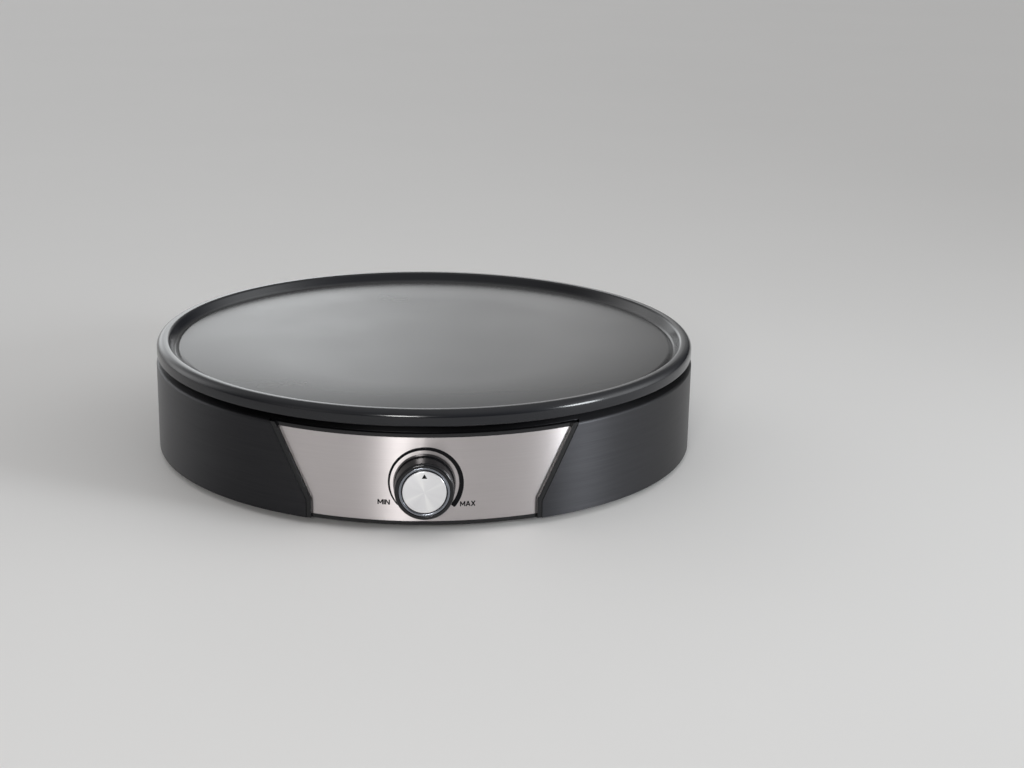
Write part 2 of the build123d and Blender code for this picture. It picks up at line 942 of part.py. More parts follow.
os.makedirs("parts", exist_ok=True)
for node, shape in subparts().items():
    export_step(shape, "parts/" + node + ".step")
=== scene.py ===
import math

import bmesh
import bpy
from mathutils import Matrix, Vector


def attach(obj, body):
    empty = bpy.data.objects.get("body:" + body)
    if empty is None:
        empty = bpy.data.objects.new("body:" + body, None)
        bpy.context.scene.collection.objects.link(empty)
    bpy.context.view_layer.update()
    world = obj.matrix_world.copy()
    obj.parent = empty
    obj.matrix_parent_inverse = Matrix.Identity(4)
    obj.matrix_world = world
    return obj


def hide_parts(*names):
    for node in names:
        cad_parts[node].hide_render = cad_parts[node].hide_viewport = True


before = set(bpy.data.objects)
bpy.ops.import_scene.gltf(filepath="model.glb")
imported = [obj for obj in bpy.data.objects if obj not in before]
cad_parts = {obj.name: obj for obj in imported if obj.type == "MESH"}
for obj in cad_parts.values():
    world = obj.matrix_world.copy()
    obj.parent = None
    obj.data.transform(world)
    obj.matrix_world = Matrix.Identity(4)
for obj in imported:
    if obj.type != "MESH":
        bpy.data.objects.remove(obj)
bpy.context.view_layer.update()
print("frame loaded:", len(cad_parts), "nodes")

mm = 0.001
weld = 1e-6  # metres: points nearer than this become one
crease = 32  # degrees: past this an edge stays sharp to the light
front = -90  # degrees from +X


# Nodes: a socket with arithmetic, the tree that it belongs to, and a finish with one shader


class Flow:
    def __init__(self, nodes, socket):
        self.nodes = nodes
        self.socket = socket

    def __add__(self, other):
        return self.nodes.math("ADD", self, other)

    def __sub__(self, other):
        return self.nodes.math("SUBTRACT", self, other)

    def __rsub__(self, other):
        return self.nodes.math("SUBTRACT", other, self)

    def __mul__(self, other):
        return self.nodes.math("MULTIPLY", self, other)

    def __truediv__(self, other):
        return self.nodes.math("DIVIDE", self, other)

    def __rtruediv__(self, other):
        return self.nodes.math("DIVIDE", other, self)

    def __pow__(self, other):
        return self.nodes.math("POWER", self, other)

    __radd__ = __add__
    __rmul__ = __mul__


class Nodes:
    def __init__(self, tree):
        self.tree = tree

    def add(self, kind, settings=None, inputs=None, output=0):
        node = self.tree.nodes.new(kind)
        for word, value in (settings or {}).items():
            if word == "stops":
                self.setStops(node.color_ramp, value)
            else:
                setattr(node, word, value)
        for key, value in (inputs or {}).items():
            self.feed(node.inputs[key], value)
        return Flow(self, node.outputs[output])

    def setStops(self, ramp, stops):
        for element, (place, shade) in zip(ramp.elements, stops):
            element.position = place
            element.color = (shade, shade, shade, 1)

    def feed(self, socket, value):
        if isinstance(value, Flow):
            self.tree.links.new(value.socket, socket)
        elif socket.type == "RGBA" and len(value) == 3:
            socket.default_value = (*value, 1)
        else:
            socket.default_value = value

    def math(self, operation, first, second=0.0):
        return self.add("ShaderNodeMath", {"operation": operation}, {0: first, 1: second})

    def vectorMath(self, operation, inputs, output=0):
        return self.add("ShaderNodeVectorMath", {"operation": operation}, inputs, output)

    def place(self):
        return self.add("ShaderNodeTexCoord", output="Object")

    def split(self, vector):
        source = {0: vector}
        return [self.add("ShaderNodeSeparateXYZ", None, source, output=axis) for axis in "XYZ"]

    def join(self, x=0.0, y=0.0, z=0.0):
        return self.add("ShaderNodeCombineXYZ", inputs={0: x, 1: y, 2: z})

    def noise(self, scale, detail=3.0, vector=None, roughness=0.5):
        where = vector if vector is not None else self.place()
        values = {"Vector": where, "Scale": scale, "Detail": detail, "Roughness": roughness}
        return self.add("ShaderNodeTexNoise", {"noise_dimensions": "3D"}, values)

    def ramp(self, factor, low, high):
        # 0 up to low and 1 from high on
        return self.add("ShaderNodeValToRGB", {"stops": [(low, 0.0), (high, 1.0)]}, {0: factor})

    def blend(self, factor, low, high):
        # sockets 6 and 7 of a Mix node are its colours, and its output 2 is the mixed colour
        colours = {0: factor, 6: low, 7: high}
        return self.add("ShaderNodeMix", {"data_type": "RGBA"}, colours, output=2)

    def radius(self, x, y):
        return self.math("SQRT", x * x + y * y)


class Finish(Nodes):
    def __init__(self, name, **uniform):
        self.material = bpy.data.materials.new(name)
        self.material.use_nodes = True
        super().__init__(self.material.node_tree)
        self.tree.nodes.clear()
        self.shader = self.tree.nodes.new("ShaderNodeBsdfPrincipled")
        output = self.tree.nodes.new("ShaderNodeOutputMaterial")
        self.tree.links.new(self.shader.outputs[0], output.inputs["Surface"])
        for word, value in uniform.items():
            self.give(word, value)

    def give(self, word, value):
        # Base_Color stands for the shader's socket Base Color
        self.feed(self.shader.inputs[word.replace("_", " ")], value)

    def gloss(self, pattern, look):
        # roughness that varies by spread about its middle
        lowest = look["roughness"] - look["spread"] / 2
        self.give("Roughness", pattern * look["spread"] + lowest)

    def relief(self, height, depth):
        bump = {"Strength": 1.0, "Distance": depth, "Height": height}
        self.give("Normal", self.add("ShaderNodeBump", inputs=bump))


# Camera, light, floor and sky

cameraView = {
    "place": (0.0038, -1.2909, 0.4344),
    "down": 16.88,  # degrees below the horizon
    "aside": 2.75,  # degrees to the right of +Y
    "roll": 1.08,
    "lens": 62.1,
    "sensor": 36,
}


def makeCamera():
    data = bpy.data.cameras.new("camera")
    data.lens = cameraView["lens"]
    data.sensor_width = cameraView["sensor"]
    camera = bpy.data.objects.new("camera", data)
    bpy.context.scene.collection.objects.link(camera)
    down = math.radians(cameraView["down"])
    aside = math.radians(cameraView["aside"])
    heading = Matrix.Rotation(-aside, 4, "Z") @ Matrix.Rotation(math.pi / 2 - down, 4, "X")
    turn = Matrix.Rotation(math.radians(cameraView["roll"]), 4, "Z")
    camera.matrix_world = Matrix.Translation(cameraView["place"]) @ heading @ turn
    bpy.context.scene.camera = camera


studio = {
    "floorColour": (0.77, 0.76, 0.75),
    "floorShade": 0.97,  # share of the colour in the darker parts of its faint clouds
    "floorCloud": 3.0,
    "floorRoughness": 0.7,
    "floorBounce": 0.55,  # share of its colour in the light that it throws back
    "floorSize": 16.0,
    "lampSpread": 75,  # degrees, so that the floor near a lamp stays plain
    # name: place, target, width, height, watts, colour
    "lamps": {
        "keyLamp": ((-0.31, -1.95, 0.72), (0, -0.19, 0.07), 0.4, 0.3, 2.1, (1.0, 0.99, 0.98)),
        "sideLamp": ((1.92, -0.93, 0.58), (0.1, -0.1, 0.05), 0.56, 0.6, 4.4, (0.93, 0.97, 1.0)),
    },
    # soft glows of the room: degrees from +Y towards +X, degrees up, tightness, level, colour
    "glows": [
        (0, 90, 1.5, 0.62, (1.0, 1.0, 1.0)),
        (-4.5, 14, 350, 2.0, (0.97, 0.99, 1.0)),
        (4, 13, 350, 1.4, (1.0, 1.0, 1.0)),
        (-8, 10, 80, 1.0, (0.97, 0.99, 1.0)),
        (14, 12, 60, 0.3, (1.0, 1.0, 1.0)),
        (-22, 12, 40, 1.9, (0.97, 0.99, 1.0)),
        (-60, 15, 14, 1.75, (1.0, 1.0, 1.0)),
        (-130, 12, 20, 0.5, (1.0, 0.97, 0.95)),
        (90, 15, 10, 2.5, (0.97, 0.99, 1.0)),
    ],
}


def makeLamp(name, place, target, width, height, watts, colour):
    data = bpy.data.lights.new(name, "AREA")
    data.shape = "RECTANGLE"
    data.size = width
    data.size_y = height
    data.energy = watts
    data.color = colour
    data.spread = math.radians(studio["lampSpread"])
    lamp = bpy.data.objects.new(name, data)
    bpy.context.scene.collection.objects.link(lamp)
    facing = (Vector(target) - Vector(place)).to_track_quat("-Z", "Y")
    lamp.matrix_world = Matrix.Translation(place) @ facing.to_matrix().to_4x4()


def makeFloor():
    mesh = bmesh.new()
    bmesh.ops.create_grid(mesh, x_segments=8, y_segments=8, size=studio["floorSize"] / 2)
    data = bpy.data.meshes.new("floor")
    mesh.to_mesh(data)
    mesh.free()
    finish = Finish("floorPaint", Roughness=studio["floorRoughness"])
    cloud = finish.noise(studio["floorCloud"])
    shade = Vector(studio["floorColour"]) * studio["floorShade"]
    bounce = Vector(studio["floorColour"]) * studio["floorBounce"]
    pale = finish.blend(cloud, shade, studio["floorColour"])

    # seen straight, in a mirror or through glass, the floor is pale; its own light is weaker
    rays = ("Is Camera Ray", "Is Glossy Ray", "Is Transmission Ray")
    seen = sum(finish.add("ShaderNodeLightPath", output=kind) for kind in rays)
    finish.give("Base_Color", finish.blend(finish.math("MINIMUM", seen, 1.0), bounce, pale))
    data.materials.append(finish.material)
    floor = bpy.data.objects.new("floor", data)
    bpy.context.scene.collection.objects.link(floor)


def makeWorld():
    # each glow is strongest towards one direction and falls off all round it
    world = bpy.data.worlds.new("studioSky")
    bpy.context.scene.world = world
    world.use_nodes = True
    sky = Nodes(world.node_tree)
    heading = sky.add("ShaderNodeTexCoord", output="Generated")
    total = None
    for turn, rise, tightness, level, colour in studio["glows"]:
        up = math.radians(rise)
        towards = Vector((0, math.cos(up), math.sin(up)))
        towards.rotate(Matrix.Rotation(-math.radians(turn), 3, "Z"))
        facing = sky.vectorMath("DOT_PRODUCT", {0: heading, 1: towards}, "Value")
        fall = sky.math("MAXIMUM", facing, 0.0) ** tightness
        glow = sky.vectorMath("SCALE", {0: Vector(colour) * level, "Scale": fall})
        total = sky.vectorMath("ADD", {0: total, 1: glow}) if total else glow
    sky.feed(world.node_tree.nodes["Background"].inputs["Color"], total)


# Materials


def plainFinish(name, look):
    # a colour that drifts between two shades, with grain in its gloss and relief
    metallic = look.get("metallic", 0.0)
    shine = look.get("shine", 0.5)
    finish = Finish(name, Metallic=metallic, Specular_IOR_Level=shine)
    drift = finish.noise(look["drift"])
    grain = finish.noise(look["grain"], roughness=0.6)
    tone = drift * 0.5 + grain * 0.5
    finish.give("Base_Color", finish.blend(tone, look["dark"], look["light"]))
    finish.gloss(grain, look)
    finish.relief(grain, look["depth"])
    return finish.material


nonstickLook = {
    "dark": (0.058, 0.058, 0.059),
    "light": (0.074, 0.074, 0.075),
    "faceRoughness": 0.26,
    "beadRoughness": 0.17,
    "beadStart": 187.5 * mm,
    "beadBlend": 2.5 * mm,
    # painted shade: the bead has the face's coating, painted near black for the darker look it has
    # under the light
    "beadShadeColour": (0.011, 0.0115, 0.014),
    "shine": 0.42,
    "grain": 2600,
    "cloud": 14,
    "cloudShare": 0.6,  # of the colour, next to the grain
    "cloudGloss": 0.06,
    "depth": 0.001 * mm,
}


def nonstickFinish():
    look = nonstickLook
    finish = Finish("nonstick", Specular_IOR_Level=look["shine"])
    x, y, z = finish.split(finish.place())
    past = (finish.radius(x, y) - look["beadStart"]) / look["beadBlend"]
    onBead = finish.ramp(past + 0.5, 0.0, 1.0)
    cloud = finish.noise(look["cloud"])
    grain = finish.noise(look["grain"], 2.0)
    tone = cloud * look["cloudShare"] + grain * (1 - look["cloudShare"])
    face = finish.blend(tone, look["dark"], look["light"])
    # the bead's near black is painted shade over the same coating as the face
    finish.give("Base_Color", finish.blend(onBead, face, look["beadShadeColour"]))
    drop = look["faceRoughness"] - look["beadRoughness"]
    uneven = (cloud - 0.5) * look["cloudGloss"]
    finish.give("Roughness", look["faceRoughness"] - onBead * drop + uneven)
    finish.relief(grain, look["depth"])
    return finish.material


paintLook = {
    "dark": (0.036, 0.036, 0.039),
    "light": (0.056, 0.056, 0.060),
    "metallic": 1.0,
    "shine": 0.5,
    "anisotropy": 0.8,
    "turn": 0.25,  # a quarter turn, so that light spreads across the brushing
    "roughness": 0.46,
    "spread": 0.14,
    "streak": 1 / (0.35 * mm),  # across the brushing
    "length": 4.0,  # along it, per radian of the drum
    "depth": 0.010 * mm,
}

steelLook = {
    "dark": (0.63, 0.59, 0.59),
    "light": (0.70, 0.66, 0.66),
    "metallic": 1.0,
    "shine": 0.5,
    "anisotropy": 0.9,
    "turn": 0.25,
    "roughness": 0.34,
    "spread": 0.08,
    "streak": 1 / (0.24 * mm),
    "length": 5.0,
    "depth": 0.006 * mm,
}

brushing = {
    "fineGrain": 0.65,
    "fineShare": 0.7,  # of the tone; broad bands make the rest
    "bandLength": 3.0,
    "bandCount": 0.12,  # as a part of the fine streaks' number
    "contrast": (0.25, 0.75),
}


def brushedFinish(name, look):
    finish = Finish(
        name,
        Metallic=look["metallic"],
        Specular_IOR_Level=look["shine"],
        Anisotropic=look["anisotropy"],
        Anisotropic_Rotation=look["turn"],
    )
    x, y, z = finish.split(finish.place())
    along = finish.math("ARCTAN2", x, 0 - y)
    up = z * look["streak"]
    fineMap = finish.join(along * look["length"], 0.0, up)
    bandMap = finish.join(along * brushing["bandLength"], 0.0, up * brushing["bandCount"])
    streaks = finish.noise(1.0, vector=fineMap, roughness=brushing["fineGrain"])
    bands = finish.noise(1.0, 2.0, bandMap)
    mixed = streaks * brushing["fineShare"] + bands * (1 - brushing["fineShare"])
    tone = finish.ramp(mixed, *brushing["contrast"])
    finish.give("Base_Color", finish.blend(tone, look["dark"], look["light"]))
    finish.gloss(streaks, look)
    finish.relief(streaks, look["depth"])
    return finish.material


mouldingLook = {
    "dark": (0.006, 0.006, 0.007),
    "light": (0.010, 0.010, 0.011),
    "shine": 0.38,
    "roughness": 0.2,
    "spread": 0.08,
    "drift": 20,
    "grain": 1800,
    "depth": 0.01 * mm,
}

knobLook = {
    "dark": (0.004, 0.004, 0.005),
    "light": (0.007, 0.007, 0.008),
    "shine": 0.42,
    "roughness": 0.12,
    "spread": 0.03,
    "drift": 60,
    "grain": 2500,
    "depth": 0.015 * mm,
}

discLook = {
    "dark": (0.85, 0.85, 0.87),
    "light": (1.0, 1.0, 1.0),
    "roughness": 0.34,
    "spread": 0.2,
    "rays": [(-17, 40, 0.55), (62, 160, 0.3)],  # painted highlights standing in for the disc's reflection: degrees from the top, sharpness, strength
    "centre": 33.85 * mm,
    "rings": 1 / (0.16 * mm),
    "ringShare": 0.25,
    "ringDrift": 0.6,  # how much a ring changes, per radian
    "paintedSheenShare": 0.5,
    "paintedSheenRays": 1.7,  # per radian
    "paintedSheenSlice": 3.0,  # another slice of the noise has other painted sheen rays
    "contrast": (0.2, 0.9),
    "depth": 0.02 * mm,
}


def spunFinish():
    look = discLook
    finish = Finish("spunDisc", Metallic=1.0)
    x, y, z = finish.split(finish.place())
    up = z - look["centre"]
    angle = finish.math("ARCTAN2", x, up)
    ringMap = finish.join(finish.radius(x, up) * look["rings"], angle * look["ringDrift"], 0.0)
    # painted sheen: faint rays about the centre, in the base colour, stand in for the spun disc's
    # reflection
    paintedSheenMap = finish.join(angle * look["paintedSheenRays"], 0.0, look["paintedSheenSlice"])
    rings = finish.noise(1.0, 2.0, ringMap, 0.7)
    rays = finish.noise(1.0, 1.0, paintedSheenMap, 0.4)
    tone = rings * look["ringShare"] + rays * look["paintedSheenShare"]
    # painted highlights: bright wedges stand in for the spun disc's reflection of the lamps
    for heading, sharpness, strength in look["rays"]:
        facing = finish.math("COSINE", angle - math.radians(heading))
        tone = tone + finish.math("ABSOLUTE", facing) ** sharpness * strength
    shade = finish.ramp(tone, *look["contrast"])
    finish.give("Base_Color", finish.blend(shade, look["dark"], look["light"]))
    finish.gloss(rings, look)
    finish.relief(rings, look["depth"])
    return finish.material


ringLook = {
    "dark": (0.21, 0.22, 0.25),
    "light": (0.27, 0.285, 0.31),
    "metallic": 1.0,
    "roughness": 0.24,
    "spread": 0.08,
    "drift": 90,
    "grain": 2600,
    "depth": 0.004 * mm,
}

inkLook = {
    "dark": (0.004, 0.004, 0.005),
    "light": (0.007, 0.007, 0.008),
    "shine": 0.1,
    "roughness": 0.45,
    "spread": 0.1,
    "drift": 300,
    "grain": 5000,
    "depth": 0.006 * mm,
}

# finish of each CAD node that is shown as it is
innerLooks = {
    "zinc": {
        "dark": (0.42, 0.42, 0.41),
        "light": (0.60, 0.60, 0.58),
        "metallic": 1.0,
        "roughness": 0.38,
        "spread": 0.16,
        "drift": 120,
        "grain": 1500,
        "depth": 0.02 * mm,
    },
    "sheath": {
        "dark": (0.17, 0.14, 0.13),
        "light": (0.34, 0.30, 0.27),
        "metallic": 1.0,
        "roughness": 0.45,
        "spread": 0.2,
        "drift": 30,
        "grain": 900,
        "depth": 0.03 * mm,
    },
    "reflector": {
        "dark": (0.62, 0.62, 0.63),
        "light": (0.76, 0.76, 0.77),
        "metallic": 1.0,
        "roughness": 0.28,
        "spread": 0.14,
        "drift": 12,
        "grain": 700,
        "depth": 0.02 * mm,
    },
    "wool": {
        "dark": (0.52, 0.48, 0.36),
        "light": (0.78, 0.75, 0.64),
        "roughness": 0.92,
        "spread": 0.1,
        "drift": 60,
        "grain": 1100,
        "depth": 0.4 * mm,
    },
    "ceramic": {
        "dark": (0.76, 0.74, 0.69),
        "light": (0.86, 0.84, 0.80),
        "roughness": 0.35,
        "spread": 0.14,
        "drift": 80,
        "grain": 900,
        "depth": 0.03 * mm,
    },
    "phenolic": {
        "dark": (0.055, 0.052, 0.05),
        "light": (0.10, 0.095, 0.09),
        "roughness": 0.5,
        "spread": 0.16,
        "drift": 70,
        "grain": 1300,
        "depth": 0.03 * mm,
    },
    "copper": {
        "dark": (0.62, 0.30, 0.18),
        "light": (0.80, 0.46, 0.30),
        "metallic": 1.0,
        "roughness": 0.3,
        "spread": 0.16,
        "drift": 50,
        "grain": 1600,
        "depth": 0.01 * mm,
    },
    "brownSleeve": {
        "dark": (0.085, 0.035, 0.018),
        "light": (0.14, 0.06, 0.03),
        "roughness": 0.5,
        "spread": 0.12,
        "drift": 60,
        "grain": 1700,
        "depth": 0.02 * mm,
    },
    "blueSleeve": {
        "dark": (0.02, 0.07, 0.26),
        "light": (0.04, 0.11, 0.36),
        "roughness": 0.5,
        "spread": 0.12,
        "drift": 60,
        "grain": 1700,
        "depth": 0.02 * mm,
    },
    "greenSleeve": {
        "dark": (0.06, 0.20, 0.04),
        "light": (0.12, 0.30, 0.06),
        "roughness": 0.5,
        "spread": 0.12,
        "drift": 60,
        "grain": 1700,
        "depth": 0.02 * mm,
    },
    "rubber": {
        "dark": (0.012, 0.012, 0.012),
        "light": (0.026, 0.026, 0.026),
        "roughness": 0.72,
        "spread": 0.16,
        "drift": 90,
        "grain": 1500,
        "depth": 0.05 * mm,
    },
    "coverPaint": {
        "dark": (0.020, 0.020, 0.021),
        "light": (0.038, 0.038, 0.040),
        "roughness": 0.55,
        "spread": 0.16,
        "drift": 12,
        "grain": 1300,
        "depth": 0.06 * mm,
    },
}

innerNodes = {
    "zinc": [
        "shield_screws",
        "plate_screws",
        "frame_screws",
        "thermostat_screws",
        "terminal_screws",
        "block_screws",
        "earth_screw",
        "earth_tag",
        "cover_screws",
        "element_terminals",
        "bulb_clips",
        "fuse_clip",
        "thermostat_spindle",
        "knob_spring",
    ],
    "sheath": ["heating_element"],
    "reflector": ["heat_shield"],
    "wool": ["insulation_pad"],
    "ceramic": ["plate_spacers", "terminal_block", "thermal_fuse"],
    "phenolic": ["thermostat_body"],
    "copper": ["sensor_bulb", "capillary_tube"],
    "brownSleeve": ["live_lead", "switched_lead"],
    "blueSleeve": ["neutral_lead"],
    "greenSleeve": ["earth_lead"],
    "rubber": [
        "foot_front_left",
        "foot_front_right",
        "foot_rear_left",
        "foot_rear_right",
        "cord_inlet",
    ],
    "coverPaint": ["bottom_cover"],
}


def finishInnerNodes():
    for name, nodes in innerNodes.items():
        material = plainFinish(name, innerLooks[name])
        for node in nodes:
            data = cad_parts[node].data
            data.materials.clear()
            data.materials.append(material)


# Modelling helpers


def outline(points, rounds=None):
    # a line through (radius, height) points in millimetres, with some of its corners rounded
    mesh = bmesh.new()
    corners = [mesh.verts.new((r * mm, 0, z * mm)) for r, z in points]
    for first, second in zip(corners, corners[1:]):
        mesh.edges.new((first, second))
    for index, (reach, segments) in (rounds or {}).items():
        bmesh.ops.bevel(
            mesh,
            geom=[corners[index]],
            offset=reach * mm,
            segments=segments,
            profile=0.5,
            affect="VERTICES",
            material=-1,
        )
    return mesh


def turnFull(mesh, steps):
    bmesh.ops.spin(
        mesh,
        geom=mesh.verts[:] + mesh.edges[:],
        axis=(0, 0, 1),
        cent=(0, 0, 0),
        angle=2 * math.pi,
        steps=steps,
        use_merge=True,
    )
    bmesh.ops.remove_doubles(mesh, verts=mesh.verts, dist=weld)
    bmesh.ops.recalc_face_normals(mesh, faces=mesh.faces)


def turnPart(mesh, middle, spread, steps):
    # spins an outline over part of a turn, about a middle direction in degrees
    start = Matrix.Rotation(math.radians(middle - spread / 2), 4, "Z")
    bmesh.ops.transform(mesh, matrix=start, verts=mesh.verts)
    bmesh.ops.spin(
        mesh,
        geom=mesh.verts[:] + mesh.edges[:],
        axis=(0, 0, 1),
        cent=(0, 0, 0),
        angle=math.radians(spread),
        steps=steps,
    )
    bmesh.ops.remove_doubles(mesh, verts=mesh.verts, dist=weld)


def chosenGeometry(mesh, test):
    faces = [face for face in mesh.faces if test(face.calc_center_median())]
    edges = list(dict.fromkeys(edge for face in faces for edge in face.edges))
    verts = list(dict.fromkeys(vert for face in faces for vert in face.verts))
    return faces + edges + verts


def slicePlane(mesh, test, point, normal):
    chosen = chosenGeometry(mesh, test)
    bmesh.ops.bisect_plane(mesh, geom=chosen, dist=weld / 10, plane_co=point, plane_no=normal)


panelOutline = {
    "slope": 0.472,  # how much each side leans out above its kink
    "opening": (78.9, 16.5),  # half width and height of the kink, in millimetres
    "panel": (75.4, 18.0),
    "cutReach": 190,  # nothing nearer to the drum's axis is cut
}


def halfWidth(kink, height, grow=0.0):
    return kink[0] + grow + panelOutline["slope"] * max(0.0, height - kink[1])


def insideOutline(kink, place, grow=0.0):
    return place.y < 0 and abs(place.x) < halfWidth(kink, place.z / mm, grow) * mm


def insideBand(kink, place, grow, low, high):
    return insideOutline(kink, place, grow) and low * mm < place.z < high * mm


def sliceOutline(mesh, kink, grow, low, high, reach=panelOutline["cutReach"]):
    # splits the faces at the front along an outline, seen from the front
    def inFront(place):
        return place.y < 0 and place.xy.length > reach * mm

    for height in (low, kink[1], high):
        slicePlane(mesh, inFront, (0, 0, height * mm), (0, 0, 1))
    for side in (-1, 1):
        edge = (side * (kink[0] + grow) * mm, 0, kink[1] * mm)
        upper = (side, 0, -panelOutline["slope"])
        slicePlane(mesh, lambda c: inFront(c) and kink[1] * mm < c.z < high * mm, edge, upper)
        slicePlane(mesh, lambda c: inFront(c) and low * mm < c.z < kink[1] * mm, edge, (side, 0, 0))


def deleteFaces(mesh, test):
    gone = [face for face in mesh.faces if test(face.calc_center_median())]
    bmesh.ops.delete(mesh, geom=gone, context="FACES")


def setRadius(geometry, radius):
    for vert in geometry:
        if isinstance(vert, bmesh.types.BMVert):
            factor = radius * mm / vert.co.xy.length
            vert.co.x *= factor
            vert.co.y *= factor


def sinkFaces(mesh, test, radius):
    # pushes the chosen faces in to a smaller radius and leaves walls round them
    faces = [face for face in mesh.faces if test(face.calc_center_median())]
    grown = bmesh.ops.extrude_face_region(mesh, geom=faces)["geom"]
    bmesh.ops.delete(mesh, geom=faces, context="FACES")
    setRadius(grown, radius)
    mesh.normal_update()


def bevelEdges(mesh, edges, width, segments):
    bmesh.ops.bevel(
        mesh,
        geom=edges,
        offset=width * mm,
        segments=segments,
        profile=0.5,
        affect="EDGES",
        material=-1,
        clamp_overlap=True,
    )


def makePiece(name, mesh, material, body, stands=()):
    bmesh.ops.remove_doubles(mesh, verts=mesh.verts, dist=weld)
    bmesh.ops.recalc_face_normals(mesh, faces=mesh.faces)
    data = bpy.data.meshes.new(name)
    mesh.to_mesh(data)
    mesh.free()
    data.shade_smooth()
    data.set_sharp_from_angle(angle=math.radians(crease))
    data.materials.append(material)
    piece = bpy.data.objects.new(name, data)
    bpy.context.scene.collection.objects.link(piece)
    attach(piece, body)
    if stands:
        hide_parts(*stands)
    print("piece:", name, len(data.polygons), "faces")
    return piece


def evenNormals(piece):
    # keeps the large faces flat to the light, next to their small bevels
    normals = piece.modifiers.new("normals", "WEIGHTED_NORMAL")
    normals.keep_sharp = True


# Hot plate

plateShape = {
    "steps": 384,
    "points": [
        (0, 78.3),
        (120, 78.3),
        (183.5, 78.3),
        (185.5, 76.7),
        (186.4, 76.3),
        (187.0, 76.3),
        (187.8, 76.9),
        (191.2, 83.9),
        (200.0, 83.9),
        (200.0, 73.2),
        (176.5, 73.2),
        (175.2, 74.5),
        (0, 74.5),
    ],
    "rounds": {2: (1.0, 4), 3: (0.5, 3), 6: (0.8, 4), 7: (1.4, 8), 8: (5.0, 14), 9: (1.3, 5)},
}


def makePlate():
    mesh = outline(plateShape["points"], plateShape["rounds"])
    turnFull(mesh, plateShape["steps"])
    makePiece("castPlate", mesh, nonstickFinish(), "base", ["hotplate"])


# Drum

drumShape = {
    "steps": 384,
    "points": [
        (200.5, 4.5),
        (200.5, 14.0),
        (200.5, 26.0),
        (200.5, 68.0),
        (193.9, 68.0),
        (171.5, 68.0),
        (171.5, 52.0),
        (12.0, 52.0),
    ],
    "rounds": {3: (1.8, 6), 5: (1.2, 4), 6: (1.2, 4)},
    "cut": (1.0, 70.0, 193.8),  # heights past the wall's foot and top, and its inner end
    "sheet": 1.5,
    "edge": 0.35,
    "edgeSegments": 2,
    "edgeAngle": 50,
    "inlet": (6.2, 14.0, 26.0),  # half width, low edge and high edge of the inlet's hole
}


def makeDrum(material):
    mesh = outline(drumShape["points"], drumShape["rounds"])
    turnFull(mesh, drumShape["steps"])
    kink = panelOutline["opening"]
    low, high, reach = drumShape["cut"]
    sliceOutline(mesh, kink, 0.0, low, high, reach)
    deleteFaces(mesh, lambda c: insideOutline(kink, c) and c.xy.length > reach * mm)
    half, foot, top = (size * mm for size in drumShape["inlet"])
    deleteFaces(mesh, lambda c: c.y > 0 and abs(c.x) < half and foot < c.z < top)
    bmesh.ops.recalc_face_normals(mesh, faces=mesh.faces)
    bmesh.ops.solidify(mesh, geom=mesh.faces[:], thickness=drumShape["sheet"] * mm)
    piece = makePiece("drumShell", mesh, material, "base", ["base_shell"])
    edges = piece.modifiers.new("edges", "BEVEL")
    edges.width = drumShape["edge"] * mm
    edges.segments = drumShape["edgeSegments"]
    edges.limit_method = "ANGLE"
    edges.angle_limit = math.radians(drumShape["edgeAngle"])
    evenNormals(piece)


# Frame round the panel

frameShape = {
    "steps": 150,
    "spread": 66,
    "rim": 200.1,
    "face": 198.2,
    "pocket": 196.8,
    "inner": 194.6,
    "gap": 0.3,  # to the drum
    "band": 0.4,  # from the panel's side to the recess
    "bevel": 1.5,
    "bevelSegments": 4,
    "edge": 0.5,
    "edgeSegments": 3,
    "sheet": (1.0, 72.0),  # foot and top of the curved sheet that it is cut from
    "low": 4.7,
    "high": 68.0,
    "panelLow": 7.1,
    "panelHigh": 65.5,
    "play": 0.1,
    "near": 0.05,  # an edge this near to a line is on it
}


def onRecessEdge(edge):
    # the long edges at the outer side of the recess
    first, second = (vert.co for vert in edge.verts)
    middle = (first + second) / 2
    near = frameShape["near"] * mm
    side = halfWidth(panelOutline["panel"], middle.z / mm, frameShape["band"]) * mm
    upright = abs(first.z - second.z) > 4 * near
    onRim = abs(middle.xy.length - frameShape["rim"] * mm) < near
    return upright and onRim and abs(abs(middle.x) - side) < near


def onFrameTop(edge):
    # the top's outer edges, which run along the rim and the recess's floor
    first, second = (vert.co for vert in edge.verts)
    top = frameShape["high"] * mm
    level = abs(first.z - top) < weld and abs(second.z - top) < weld
    behindFloor = (frameShape["face"] - 0.5) * mm
    outer = ((first + second) / 2).xy.length > behindFloor
    return level and outer and len(edge.link_faces) == 2


